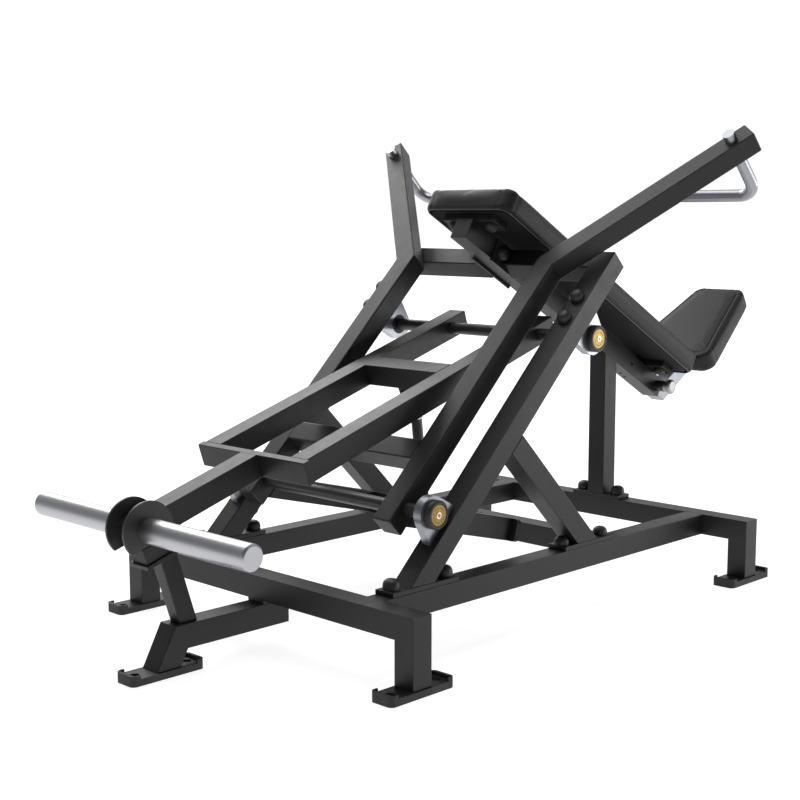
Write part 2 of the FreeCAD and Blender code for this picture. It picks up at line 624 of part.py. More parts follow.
shaft(LOW_AXIS, "lower_shaft")
caps(LOW_AXIS, "lower_shaft_caps")
shaft(TOP_AXIS, "upper_shaft")
caps(TOP_AXIS, "upper_shaft_caps")

# ---------------------------------------------------------------- press frame
PI, PO = P["press_inner_y"], P["press_outer_y"]
ax = Vector(math.cos(math.radians(39.0)), math.sin(math.radians(39.0)), 0)
nx = Vector(-ax.y, ax.x, 0)
mo, mi = (P["press_mitre_outer"], PO), (P["press_mitre_inner"], PI)
arm_c = Vector(553.0, 216.5, 0) + ax * 527.0
arm_o, arm_i = arm_c + nx * 25.0, arm_c - nx * 25.0
f = (mi[0] - mo[0]) / (PO - PI)
mo_i = (mo[0] + f * W, PO - W)
mi_i = (mi[0] - f * W, PI + W)
arm_oi, arm_ii = arm_c + nx * 22.0 - ax * W, arm_c - nx * 22.0 - ax * W
grip_at = Vector(926.8, 519.2, 0)
for side, word in ((1, "left"), (-1, "right")):
    # the outline lies in the frame's own plane; the tube's depth is across that plane
    place = Placement(PRESS.pt(0, 0, 25.0), PRESS.rot())
    shaft_way = ycyl("shaft_radius + 0.02", "tube_size + 20", LOW_AXIS.x, LOW_AXIS.z, side * 181.5, side)
    node(mitred_tube("%s_press_tube" % word, "XY_Plane",
                     [(P["press_start"], side * PI), (P["press_start"], side * PO), (mo[0], side * mo[1]), (mi[0], side * mi[1])],
                     [(P["press_start"] + W, side * (PI + W)), (P["press_start"] + W, side * (PO - W)), (mo_i[0], side * mo_i[1]), (mi_i[0], side * mi_i[1])],
                     place, holes=[shaft_way]), "%s_press_tube" % word)
    gway = tmp("Part::Cylinder", "gripway")
    gway.setExpression("Radius", ex("grip_radius + 0.02"))
    gway.Height = 70.0
    gway.Placement = Placement(PRESS.pt(grip_at.x, side * grip_at.y, 60.0), PRESS.rot())
    node(mitred_tube("%s_press_arm" % word, "XY_Plane",
                     [(mo[0], side * mo[1]), (arm_o.x, side * arm_o.y), (arm_i.x, side * arm_i.y), (mi[0], side * mi[1])],
                     [(mo_i[0], side * mo_i[1]), (arm_oi.x, side * arm_oi.y), (arm_ii.x, side * arm_ii.y), (mi_i[0], side * mi_i[1])],
                     place, holes=[gway]), "%s_press_arm" % word)
    # bent hand grip: through the arm, back, then a quarter bend to a bar that runs inward
    R = P["grip_bend"]
    y_end = 318.0
    p1 = PRESS.pt(grip_at.x, side * grip_at.y, -20.0)
    p2 = PRESS.pt(grip_at.x, side * grip_at.y, 121.0)
    cen = p2 + Vector(0, -side * R, 0)
    mid = cen + (Vector(0, side, 0) * math.cos(math.pi / 4) - PRESS.w * math.sin(math.pi / 4)) * R
    p3 = cen - PRESS.w * R
    p4 = Vector(p3.x, side * y_end, p3.z)
    path = Part.Wire([Part.LineSegment(p1, p2).toShape(), Part.Arc(p2, mid, p3).toShape(), Part.LineSegment(p3, p4).toShape()])
    prof = Part.Wire([Part.Circle(p1, PRESS.w, sheet.get("grip_radius")).toShape()])
    g = doc.addObject("Part::Feature", "%s_hand_grip_bar" % word)
    g.Shape = path.makePipeShell([prof], True, False)
    node(g, "%s_hand_grip" % word)

cb = box("tube_size", "press_cross_length", "tube_size", PRESS.pl(-14.0, -191.5, T))
ci = box("tube_size - 2*tube_wall", "press_cross_length", "tube_size - 2*tube_wall", PRESS.pl(-14.0 + W, -191.5, T - W))
node(cut(cb, [ci]), "press_cross_tube")

la_end = 345.0
larms = []
for side, w_ in ((1, "l"), (-1, "r")):
    larms.append(mitred_tube("link_arm_" + w_, "XZ_Plane",
                             [meet(PRESS, T, LINKARM, T), meet(PRESS, T, LINKARM, 0), LINKARM.xz(la_end, 0), LINKARM.xz(la_end, T)],
                             [meet(PRESS, T, LINKARM, T - W), meet(PRESS, T, LINKARM, W), LINKARM.xz(la_end, W), LINKARM.xz(la_end, T - W)],
                             Placement(Vector(0, side * 216.5, 0), Rotation())))
group(larms, "link_arms")
lp = box("link_plate_thick", "link_plate_length", "tube_size", LINKARM.pl(la_end, -258.0, T))
lp = fillet(lp, lambda e: abs(e.Length - P["link_plate_thick"]) < 0.01, 8.0)
node(lp, "link_plate")


def lug_pair(line, pts, tag, slot):
    out = []
    for side in (1, -1):
        b = plate("%s_%s" % (tag, "l" if side > 0 else "r"), "XZ_Plane", pts,
                  Placement(Vector(0, side * 20.0, 0), Rotation()), "lug_thick")
        out.append(cut(b, slot(side)))
    return out


# lower lug cheeks with an elongated hole for the link's lower pin
def low_slot(side):
    tools = []
    pos = [LINKARM.pt(326.0 + d1, 0, 25.0 + d2) for d1, d2 in SLOT]
    for q in pos:
        tools.append(ycyl("link_pin_radius + slot_extra", "lug_thick + 8", q.x, q.z, side * 12.0, side))
    for q, r in zip(pos[:-1], pos[1:]):
        v = r - q
        ang = math.degrees(math.atan2(v.z, v.x))
        o = tmp("Part::Box", "slotway")
        o.Length = v.Length
        o.Width = P["lug_thick"] + 8
        o.Height = 2 * (P["link_pin_radius"] + P["slot_extra"])
        run = Line(q.x, q.z, ang)
        y0 = 12.0 if side > 0 else -12.0 - (P["lug_thick"] + 8)
        o.Placement = run.pl(0, y0, P["link_pin_radius"] + P["slot_extra"])
        tools.append(o)
    return tools


SLOT = [(-7.5, 0.0), (5.5, 0.0)]
low = lug_pair(LINKARM, [LINKARM.xz(345.0, 46.0), LINKARM.xz(345.0, 4.0), LINKARM.xz(312.0, 4.0), LINKARM.xz(303.0, 13.0), LINKARM.xz(303.0, 37.0), LINKARM.xz(312.0, 46.0)], "low_lug", low_slot)
group(low, "lower_link_lug")

# ---------------------------------------------------------------- weight lever
for side, word in ((1, "left"), (-1, "right")):
    way = ycyl("shaft_radius + 0.02", "tube_size + 20", TOP_AXIS.x, TOP_AXIS.z, side * 101.0, side)
    node(square_tube(LEVER, 49.0, "lever_rail_length", side * P["lever_rail_y"], closed=1, holes=[way]), "%s_lever_rail" % word)
node(box("lever_plate_thick", "lever_plate_width", "tube_size", LEVER.pl(32.0, -168.0, T)), "lever_front_plate")
o = box("tube_size", "lever_cross_length", "tube_size", LEVER.pl(491.0, -111.0, T))
i = box("tube_size - 2*tube_wall", "lever_cross_length", "tube_size - 2*tube_wall", LEVER.pl(491.0 + W, -111.0, T - W))
node(cut(o, [i]), "lever_cross_tube")
node(square_tube(LEVER, -282.0, "centre_tube_length", 0.0, closed=-1), "lever_centre_tube")

HORN = LEVER.pt(-257.1, 0, 25.0)
horns, collars = [], []
for side in (1, -1):
    y0 = side * (25.0 + P["collar_thick"])
    yt = side * (25.0 + P["collar_thick"] + P["horn_length"])
    h_ = ycyl("horn_radius", "horn_length", HORN.x, HORN.z, y0, side)
    h_ = chamfer(h_, lambda e: abs(e.CenterOfMass.y - yt) < 0.01 and e.Length > 50, P["horn_chamfer"])
    bore = ycyl("horn_radius - horn_wall", "horn_length - 12", HORN.x, HORN.z, y0, side)
    horns.append(cut(h_, [bore]))
    c_ = ycyl("collar_radius", "collar_thick", HORN.x, HORN.z, side * 25.0, side)
    flat = box("collar_radius * 2 + 20", "collar_thick + 2", "collar_radius", LEVER.pl(-257.1 - 70.0, (24.0 if side > 0 else -24.0 - (P["collar_thick"] + 2)), 25.0 + 27.5 + P["collar_radius"]))
    collars.append(cut(c_, [flat]))
group(horns, "plate_horns")
group(collars, "horn_collars")


def top_hole(side):
    return [ycyl("link_pin_radius + running_gap", "lug_thick + 8", LINK_TOP.x, LINK_TOP.z, side * 12.0, side)]


up = lug_pair(LEVER, [LEVER.xz(494.0, 50.0), LEVER.xz(538.0, 50.0), LEVER.xz(534.0, 88.0), LEVER.xz(526.0, 94.0), LEVER.xz(506.0, 94.0), LEVER.xz(498.0, 88.0)], "up_lug", top_hole)
group(up, "upper_link_lug")

# ---------------------------------------------------------------- link rod, with an eye at each end and its two pins
lv = LINK_TOP - LINK_LOW
llen = lv.Length
ldir = Vector(lv).normalize()
lrot = Rotation(Vector(0, 0, 1), ldir)


def along_link(r, z0, z1, kind="Part::Cylinder"):
    o_ = tmp(kind, "rodpart")
    if kind == "Part::Prism":
        o_.Polygon = 6
        o_.Circumradius = r
    else:
        o_.Radius = r
    o_.Height = z1 - z0
    o_.Placement = Placement(LINK_LOW + ldir * z0, lrot)
    return o_


P["rod_len"] = llen - 18.0 - 52.0
cell("rod_len", P["rod_len"])
rod = cyl("rod_radius", "rod_len", Placement(LINK_LOW + ldir * 18.0, lrot))
node(rod, "link_rod")
ends = []
eye_l = fuse([ycyl("rod_radius", "24", LINK_LOW.x, LINK_LOW.z, -12.0, 1), along_link(9.0, 4.0, 18.0)])
eye_u = fuse([ycyl("rod_radius + 2", "24", LINK_TOP.x, LINK_TOP.z, -12.0, 1),
              along_link(10.0, llen - 40.0, llen - 6.0), along_link(15.5, llen - 52.0, llen - 34.0, "Part::Prism")])
for e_, q in ((eye_l, LINK_LOW), (eye_u, LINK_TOP)):
    ends.append(cut(e_, [ycyl("link_pin_radius + 0.02", "30", q.x, q.z, -15.0, 1)]))
P["pin_len"] = 60.0
cell("pin_len", 60.0)
pins = [ycyl("link_pin_radius", "pin_len", q.x, q.z, -30.0, 1) for q in (LINK_LOW, LINK_TOP)]
group(ends + pins, "link_eyes_and_pins")

# ---------------------------------------------------------------- seat carriage
SS, SW_ = P["slide_size"], P["slide_wall"]
b0, b1 = 5.0, 45.0          # depth of the slide tube in the backrest run
a0_, a1_ = P["seat_thick"], P["seat_thick"] + SS      # depth of the arm in the seat run
lo = meet(BACK, b1, SEAT, a1_)
hi = meet(BACK, b0, SEAT, a0_)
loi = meet(BACK, b1 - SW_, SEAT, a1_ - SW_)
hii = meet(BACK, b0 + SW_, SEAT, a0_ + SW_)
slot_run = box("108 + 2*pin_radius", "30", "2*pin_radius + 0.4", BACK.pl(pin_al - 108.0, -35.0, 25.0 + P["pin_radius"] + 0.2))
node(mitred_tube("seat_slide_tube", "XZ_Plane", [BACK.xz(640.0, b0), hi, lo, BACK.xz(640.0, b1)],
                 [BACK.xz(640.0, b0 + SW_), hii, loi, BACK.xz(640.0, b1 - SW_)], Placement(),
                 width="slide_size", hollow="slide_size - 2*slide_wall", holes=[slot_run]), "seat_slide_tube")
node(mitred_tube("seat_support_arm", "XZ_Plane", [hi, SEAT.xz(190.0, a0_), SEAT.xz(190.0, a1_), lo],
                 [hii, SEAT.xz(187.0, a0_ + SW_), SEAT.xz(187.0, a1_ - SW_), loi], Placement(),
                 width="slide_size", hollow="slide_size - 2*slide_wall"), "seat_support_arm")

s0, s1, hw, tp, st = P["seat_low"], P["seat_high"], P["seat_half_wide"], P["seat_taper"], P["seat_thick"]


def trapezoid(inset):
    wl, wh = hw - tp * (s0 + inset) - inset, hw - tp * (s1 - inset) - inset
    return [(s0 + inset, -wl), (s1 - inset, -wh), (s1 - inset, wh), (s0 + inset, wl)]


def seat_block(tag, inset, thick, p_low, r):
    b = plate(tag, "XY_Plane", trapezoid(inset), SEAT.pl(0, 0, p_low - val(thick) / 2.0), thick)
    t_ = val(thick)
    return fillet(b, lambda e: abs(e.Length - t_) < 0.01 and abs(abs((e.Vertexes[-1].Point - e.Vertexes[0].Point).dot(SEAT.w)) - t_) < 0.01, r)


node(seat_block("seat_board", 11.0, "board_thick", st, 26.0), "seat_board")
sp_ = seat_block("seat_pad", 0.0, "seat_thick", st, 36.0)
well = plate("seat_well", "XY_Plane", trapezoid(11.0 - P["board_gap"]), SEAT.pl(0, 0, st - (P["board_thick"] + P["board_gap"]) / 2.0), "board_thick + board_gap")
node(cut(sp_, [well]), "seat_pad")

# ---------------------------------------------------------------- pull pin that locks the carriage
pc = BACK.pt(pin_al, 0, 25)
hs_ = ycyl("pin_housing_radius", "pin_housing_length", pc.x, pc.z, -25.0, -1)
hb_ = ycyl("pin_radius + running_gap", "pin_housing_length", pc.x, pc.z, -25.0, -1)
node(cut(hs_, [hb_]), "pull_pin_housing")
P["pin_rod"] = 46.0
cell("pin_rod", 46.0)
shank = ycyl("pin_radius", "pin_rod", pc.x, pc.z, -14.0, -1)
collar = ycyl("pin_housing_radius - 1", "10", pc.x, pc.z, -50.3, -1)
knob = ycyl("knob_radius", "knob_length", pc.x, pc.z, -60.3, -1)
knob = fillet(knob, lambda e: abs(e.CenterOfMass.y + 60.3 + P["knob_length"]) < 0.01 and e.Length > 50, 8.5)
knob = chamfer(knob, lambda e: abs(e.CenterOfMass.y + 60.3) < 0.01 and e.Length > 50, 2.5)
node(fuse([shank, collar, knob]), "pull_pin")

# ---------------------------------------------------------------- the bolts themselves
group([dome_bolt(*b) for b in BOLTS], "dome_bolts")

doc.recompute()
bad = [o.Name for o in doc.Objects if "Invalid" in o.State or "Error" in o.State]
if bad:
    raise RuntimeError("failed objects: %s" % bad)

# the origin sits on the floor below the middle of the whole machine
SHIFT = Vector(-719.75, 0, 0)
os.makedirs("parts", exist_ok=True)
names = [o.Label for o in NODES]
if len(set(names)) != len(names):
    raise RuntimeError("repeated label")
lowest = [1e9, 1e9, 1e9]
highest = [-1e9, -1e9, -1e9]
for o in NODES:
    s = o.Shape
    if s.isNull() or not s.isValid() or not s.Solids:
        raise RuntimeError("bad shape: %s" % o.Label)
for o in doc.Objects:
    if hasattr(o, "Placement") and hasattr(o, "Shape") and o.TypeId in ("Part::Box", "Part::Cylinder", "Part::Prism", "PartDesign::Body", "Part::Feature"):
        if o.getParentGeoFeatureGroup() is None:
            o.Placement = Placement(SHIFT, Rotation()).multiply(o.Placement)
doc.recompute()
bad = [o.Name for o in doc.Objects if "Invalid" in o.State or "Error" in o.State]
if bad:
    raise RuntimeError("failed objects after the shift: %s" % bad)
for o in NODES:
    s = o.Shape
    if s.isNull() or not s.isValid() or not s.Solids:
        raise RuntimeError("bad shape: %s" % o.Label)
    bb = s.BoundBox
    lowest = [min(a, b) for a, b in zip(lowest, (bb.XMin, bb.YMin, bb.ZMin))]
    highest = [max(a, b) for a, b in zip(highest, (bb.XMax, bb.YMax, bb.ZMax))]
    s.exportStep("parts/%s.step" % o.Label)
print("nodes", len(NODES), "box", [round(v, 1) for v in lowest], [round(v, 1) for v in highest])
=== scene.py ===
import json
import math

import bmesh
import bpy
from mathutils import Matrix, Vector
from mathutils.kdtree import KDTree


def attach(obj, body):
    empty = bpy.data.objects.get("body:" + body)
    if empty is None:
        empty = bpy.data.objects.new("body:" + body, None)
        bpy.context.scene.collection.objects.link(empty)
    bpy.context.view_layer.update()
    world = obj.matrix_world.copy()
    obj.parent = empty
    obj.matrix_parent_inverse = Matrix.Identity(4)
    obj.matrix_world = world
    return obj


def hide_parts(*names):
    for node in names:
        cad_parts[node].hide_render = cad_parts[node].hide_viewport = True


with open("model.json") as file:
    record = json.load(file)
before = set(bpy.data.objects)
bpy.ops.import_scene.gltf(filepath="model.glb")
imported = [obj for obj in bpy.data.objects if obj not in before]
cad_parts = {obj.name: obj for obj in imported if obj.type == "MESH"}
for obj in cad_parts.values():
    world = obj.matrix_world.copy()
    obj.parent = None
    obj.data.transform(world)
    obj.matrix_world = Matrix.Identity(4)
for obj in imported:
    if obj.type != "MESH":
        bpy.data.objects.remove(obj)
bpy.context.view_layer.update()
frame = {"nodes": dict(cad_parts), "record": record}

scene = bpy.context.scene
MM = 0.001


# ------------------------------------------------------------------ node helpers
class Shader:
    """A small wrapper that builds one material's node tree."""

    def __init__(self, name):
        self.mat = bpy.data.materials.new(name)
        self.mat.use_nodes = True
        self.t = self.mat.node_tree
        self.t.nodes.clear()
        self.out = self.t.nodes.new("ShaderNodeOutputMaterial")
        self.p = self.t.nodes.new("ShaderNodeBsdfPrincipled")
        self.t.links.new(self.p.outputs[0], self.out.inputs[0])
        self.co = self.t.nodes.new("ShaderNodeTexCoord")

    def n(self, kind, **sets):
        node = self.t.nodes.new(kind)
        for k, v in sets.items():
            if k in node.inputs:
                node.inputs[k].default_value = v
            else:
                setattr(node, k, v)
        return node

    def link(self, a, b):
        self.t.links.new(a, b)

    def coords(self, scale=(1, 1, 1), rot=(0, 0, 0)):
        m = self.n("ShaderNodeMapping")
        m.inputs["Scale"].default_value = scale
        m.inputs["Rotation"].default_value = rot
        self.link(self.co.outputs["Object"], m.inputs["Vector"])
        return m.outputs[0]

    def noise(self, scale, detail=3.0, rough=0.5, at=None):
        t = self.n("ShaderNodeTexNoise")
        t.inputs["Scale"].default_value = scale
        t.inputs["Detail"].default_value = detail
        t.inputs["Roughness"].default_value = rough
        self.link(at if at is not None else self.co.outputs["Object"], t.inputs["Vector"])
        return t.outputs["Fac"]

    def voronoi(self, scale, feature="F1", at=None):
        t = self.n("ShaderNodeTexVoronoi")
        t.feature = feature
        t.inputs["Scale"].default_value = scale
        self.link(at if at is not None else self.co.outputs["Object"], t.inputs["Vector"])
        return t.outputs["Distance"]

    def attr(self, name):
        a = self.n("ShaderNodeAttribute")
        a.attribute_name = name
        return a.outputs["Fac"]

    def math(self, op, a, b, clamp=False):
        m = self.n("ShaderNodeMath")
        m.operation = op
        m.use_clamp = clamp
        for i, v in enumerate((a, b)):
            if isinstance(v, (int, float)):
                m.inputs[i].default_value = v
            else:
                self.link(v, m.inputs[i])
        return m.outputs[0]

    def remap(self, v, a, b, c, d):
        m = self.n("ShaderNodeMapRange")
        for k, x in zip(("From Min", "From Max", "To Min", "To Max"), (a, b, c, d)):
            m.inputs[k].default_value = x
        self.link(v, m.inputs["Value"])
        return m.outputs[0]

    def mix(self, fac, a, b):
        m = self.n("ShaderNodeMix")
        m.data_type = "RGBA"
        if isinstance(fac, (int, float)):
            m.inputs[0].default_value = fac
        else:
            self.link(fac, m.inputs[0])
        for sock, v in ((m.inputs[6], a), (m.inputs[7], b)):
            if isinstance(v, tuple):
                sock.default_value = (*v, 1.0)
            else:
                self.link(v, sock)
        return m.outputs[2]

    def bump(self, height, strength, distance, after=None):
        b = self.n("ShaderNodeBump")
        b.inputs["Strength"].default_value = strength
        b.inputs["Distance"].default_value = distance
        self.link(height, b.inputs["Height"])
        if after is not None:
            self.link(after, b.inputs["Normal"])
        return b.outputs[0]

    def set(self, **vals):
        for k, v in vals.items():
            s = self.p.inputs[k.replace("_", " ")]
            if isinstance(v, tuple):
                s.default_value = (*v, 1.0)
            elif isinstance(v, (int, float)):
                s.default_value = v
            else:
                self.link(v, s)
        return self.mat


# ------------------------------------------------------------------ materials
def powder_coat():
    m = Shader("powder_coat_black")
    big = m.noise(2.6, 4.0)
    mid = m.noise(38.0, 5.0, 0.6)
    peel = m.noise(520.0, 2.0, 0.45)
    grit = m.voronoi(1500.0)
    edge = m.attr("edge")
    rub = m.math("MULTIPLY", edge, m.remap(mid, 0.45, 0.75, 0.0, 1.0), True)
    col = m.mix(m.remap(big, 0.3, 0.7, 0.0, 1.0), (0.0105, 0.0105, 0.0108), (0.0140, 0.0140, 0.0143))
    col = m.mix(m.math("MULTIPLY", rub, 0.5), col, (0.055, 0.055, 0.056))
    rough = m.remap(m.math("ADD", m.math("MULTIPLY", mid, 0.6), m.math("MULTIPLY", peel, 0.4)), 0.3, 0.75, 0.38, 0.50)
    rough = m.math("SUBTRACT", rough, m.math("MULTIPLY", edge, 0.06))
    nrm = m.bump(peel, 0.34, 0.00022)
    nrm = m.bump(grit, 0.16, 0.00012, nrm)
    return m.set(Base_Color=col, Roughness=rough, Normal=nrm, Specular_IOR_Level=0.32)


def gloss_enamel():
    m = Shader("black_enamel_steel")
    mid = m.noise(7.0, 2.0)
    fine = m.noise(1400.0, 2.0)
    col = m.mix(mid, (0.019, 0.019, 0.0195), (0.024, 0.024, 0.0245))
    return m.set(Base_Color=col, Roughness=m.remap(mid, 0.3, 0.7, 0.36, 0.42), Normal=m.bump(fine, 0.05, 0.00005),
                 Specular_IOR_Level=0.5)


def vinyl():
    m = Shader("black_vinyl")
    warp = m.noise(90.0, 3.0)
    cells = m.voronoi(820.0, "DISTANCE_TO_EDGE")
    fine = m.noise(1900.0, 3.0, 0.6)
    big = m.noise(7.0, 3.0)
    seam = m.attr("seam")
    col = m.mix(m.remap(big, 0.3, 0.7, 0.0, 1.0), (0.0075, 0.0075, 0.0078), (0.0115, 0.0115, 0.0118))
    # painted shade: the vinyl is darkened along the drawn-in seam grooves, where shade falls
    col = m.mix(seam, col, (0.0015, 0.0015, 0.0015))
    crease = m.remap(cells, 0.0, 0.16, 0.0, 1.0)
    rough = m.math("ADD", m.remap(crease, 0.0, 1.0, 0.56, 0.43), m.math("MULTIPLY", warp, 0.05))
    nrm = m.bump(crease, 0.3, 0.00018)
    nrm = m.bump(fine, 0.16, 0.00012, nrm)
    nrm = m.bump(warp, 0.12, 0.0012, nrm)
    return m.set(Base_Color=col, Roughness=rough, Normal=nrm, Specular_IOR_Level=0.30,
                 Sheen_Weight=0.05, Sheen_Roughness=0.4)


def rubber():
    m = Shader("black_rubber")
    n1 = m.noise(22.0, 4.0)
    n2 = m.noise(900.0, 3.0)
    col = m.mix(n1, (0.010, 0.010, 0.010), (0.019, 0.019, 0.0185))
    return m.set(Base_Color=col, Roughness=m.remap(n1, 0.3, 0.7, 0.55, 0.72), Normal=m.bump(n2, 0.35, 0.0002))


def plastic():
    m = Shader("black_cap_plastic")
    n1 = m.noise(30.0, 3.0)
    n2 = m.noise(1200.0, 2.0)
    col = m.mix(n1, (0.014, 0.014, 0.0145), (0.020, 0.020, 0.0205))
    return m.set(Base_Color=col, Roughness=m.remap(n1, 0.3, 0.7, 0.44, 0.54), Normal=m.bump(n2, 0.14, 0.00015))


def satin_chrome(name, axis, base=(0.50, 0.51, 0.54), rough=(0.3, 0.4), turned=0.16):
    """Satin plated bar; the fine lines run round the bar, so they vary only along its axis."""
    m = Shader(name)
    sc = [14.0, 14.0, 14.0]
    sc[axis] = 1500.0
    lines = m.noise(1.0, 3.0, 0.6, m.coords(tuple(sc)))
    smear = m.noise(16.0, 4.0)
    col = m.mix(smear, base, tuple(min(1.0, c * 1.07) for c in base))
    r = m.remap(m.math("ADD", m.math("MULTIPLY", lines, 0.5), m.math("MULTIPLY", smear, 0.5)), 0.3, 0.7, *rough)
    return m.set(Base_Color=col, Metallic=1.0, Roughness=r, Normal=m.bump(lines, turned, 0.00006))


def cast_silver():
    m = Shader("cast_silver")
    n1 = m.noise(45.0, 4.0)
    n2 = m.noise(650.0, 3.0, 0.6)
    col = m.mix(n1, (0.30, 0.315, 0.345), (0.36, 0.375, 0.405))
    return m.set(Base_Color=col, Metallic=0.85, Roughness=m.remap(n1, 0.3, 0.7, 0.27, 0.36), Normal=m.bump(n2, 0.22, 0.00012))


def gold_disc():
    m = Shader("gold_disc")
    n1 = m.noise(120.0, 4.0)
    fine = m.noise(1.0, 2.0, 0.5, m.coords((2200.0, 60.0, 2200.0)))
    col = m.mix(n1, (0.26, 0.165, 0.04), (0.33, 0.22, 0.065))
    return m.set(Base_Color=col, Metallic=0.9, Roughness=m.remap(n1, 0.3, 0.7, 0.3, 0.42), Normal=m.bump(fine, 0.12, 0.00005))


def painted_board():
    m = Shader("black_board")
    grain = m.noise(1.0, 5.0, 0.6, m.coords((18.0, 260.0, 260.0), (0, math.radians(-29.15), 0)))
    spots = m.noise(240.0, 3.0)
    col = m.mix(grain, (0.004, 0.004, 0.004), (0.008, 0.008, 0.0078))
    return m.set(Base_Color=col, Roughness=m.remap(spots, 0.3, 0.7, 0.6, 0.75), Normal=m.bump(grain, 0.3, 0.0003),
                 Specular_IOR_Level=0.2)


def piping_trim():
    m = Shader("grey_piping")
    n1 = m.noise(700.0, 2.0)
    col = m.mix(n1, (0.075, 0.075, 0.077), (0.105, 0.105, 0.107))
    return m.set(Base_Color=col, Roughness=0.48, Normal=m.bump(n1, 0.25, 0.0002))


POWDER, ENAMEL, VINYL, RUBBER, PLASTIC = powder_coat(), gloss_enamel(), vinyl(), rubber(), plastic()
HORN = satin_chrome("satin_chrome_bar", 1, (0.43, 0.435, 0.455))
GRIP = satin_chrome("satin_chrome_grip", 1, (0.32, 0.328, 0.352), (0.32, 0.40), 0.02)
TUBE_SILVER = satin_chrome("silver_slide_tube", 2, (0.25, 0.262, 0.288), (0.34, 0.44), 0.08)
PIN_SILVER = satin_chrome("machined_pin", 1, (0.36, 0.36, 0.36), (0.38, 0.48), 0.10)
CAST, GOLD, BOARD, PIPING = cast_silver(), gold_disc(), painted_board(), piping_trim()

CAP_SCREW = satin_chrome("cap_screw_steel", 1, (0.75, 0.76, 0.78), (0.3, 0.4), 0.1)


def paint(obj, mat):
    if not obj.data.materials:
        obj.data.materials.append(mat)
    for i in range(len(obj.data.materials)):
        obj.data.materials[i] = mat
    return obj


def add_mesh(name, bm, mat, body, smooth=True):
    me = bpy.data.meshes.new(name)
    bm.to_mesh(me)
    bm.free()
    o = bpy.data.objects.new(name, me)
    scene.collection.objects.link(o)
    me.materials.append(mat)
    if smooth:
        for p in me.polygons:
            p.use_smooth = True
    if body:
        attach(o, body)
    return o


# ------------------------------------------------------------------ tubes and plates with rolled corners
body_of = {}
for b, ns in frame["record"]["behaviour"]["bodies"].items():
    for n_ in ns:
        body_of[n_] = b


TUBES = ("front_crossbar rear_crossbar front_legs rear_legs left_side_rail right_side_rail floor_cross_tube "
         "centre_extension_tube centre_leg left_upright right_upright left_rear_brace right_rear_brace rear_post "
         "upper_cross_tubes backrest_tube left_press_tube right_press_tube left_press_arm right_press_arm "
         "press_cross_tube link_arms left_lever_rail right_lever_rail lever_cross_tube lever_centre_tube").split()
spots = [(v.co.copy(), k) for k, t in enumerate(TUBES) for v in frame["nodes"][t].data.vertices]
near_by = KDTree(len(spots))
for i, (co, k) in enumerate(spots):
    near_by.insert(co, i)
near_by.balance()


def welded(node, co):
    """True where the corner of this tube is also a corner of another tube, as at a ground-flush mitre weld."""
    return any(TUBES[spots[i][1]] != node for _, i, _ in near_by.find_range(co, 0.15 * MM))


def rolled(node, radius, mat, least_face=350.0, least_edge=7.0, segments=3):
    """A copy of the CAD node with its long outer corners rolled, as drawn tube and cut plate have."""
    src = frame["nodes"][node]
    bm = bmesh.new()
    bm.from_mesh(src.data)
    bmesh.ops.remove_doubles(bm, verts=bm.verts, dist=2e-6)
    bmesh.ops.dissolve_limit(bm, angle_limit=math.radians(0.6), verts=bm.verts, edges=bm.edges)
    bm.normal_update()
    lay = bm.faces.layers.float.new("edge_face")
    pick = []
    for e in bm.edges:
        if len(e.link_faces) != 2 or not e.is_convex:
            continue
        if e.calc_length() < least_edge * MM or e.calc_face_angle(0.0) < math.radians(25):
            continue
        if min(f.calc_area() for f in e.link_faces) < least_face * MM * MM:
            continue
        if node in TUBES and all(welded(node, v.co) for v in e.verts):
            continue
        pick.append(e)
    r = bmesh.ops.bevel(bm, geom=pick, offset=radius * MM, offset_type="OFFSET", segments=segments, profile=0.5,
                        affect="EDGES", clamp_overlap=True)
    for f in r["faces"]:
        f[lay] = 1.0
    bm.normal_update()
    me = bpy.data.meshes.new(node + "_rolled")
    bm.to_mesh(me)
    vals = [0.0] * len(me.loops)
    fa = me.attributes["edge_face"].data
    for p in me.polygons:
        v = fa[p.index].value
        for li in p.loop_indices:
            vals[li] = v
    at = me.attributes.new("edge", "FLOAT", "CORNER")
    at.data.foreach_set("value", vals)
    me.attributes.remove(me.attributes["edge_face"])
    bm.free()
    o = bpy.data.objects.new(node + "_rolled", me)
    scene.collection.objects.link(o)
    me.materials.append(mat)
    for p in me.polygons:
        p.use_smooth = True
    me.set_sharp_from_angle(angle=math.radians(34))
    w = o.modifiers.new("weighted", "WEIGHTED_NORMAL")
    w.keep_sharp = True
    w.weight = 60
    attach(o, body_of[node])
    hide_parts(node)
    return o


for t in TUBES:
    rolled(t, 3.2, POWDER)
for t, r_ in (("stop_post", 2.2), ("lever_front_plate", 1.8), ("link_plate", 1.6), ("frame_flanges", 1.4),
              ("stop_plate", 1.2), ("backrest_side_plates", 1.0), ("pad_mounting_bars", 1.4),
              ("lower_link_lug", 1.0), ("upper_link_lug", 1.0)):
    rolled(t, r_, POWDER, least_face=120.0, least_edge=5.0, segments=2)
rolled("foot_plates", 1.0, POWDER, least_face=200.0, least_edge=20.0, segments=2)
rolled("rubber_feet", 2.8, RUBBER, least_face=60.0, least_edge=5.0, segments=2)
rolled("stop_bumper", 1.5, RUBBER, least_face=60.0, least_edge=5.0, segments=2)
rolled("seat_slide_tube", 2.4, TUBE_SILVER)
rolled("seat_support_arm", 2.4, TUBE_SILVER)

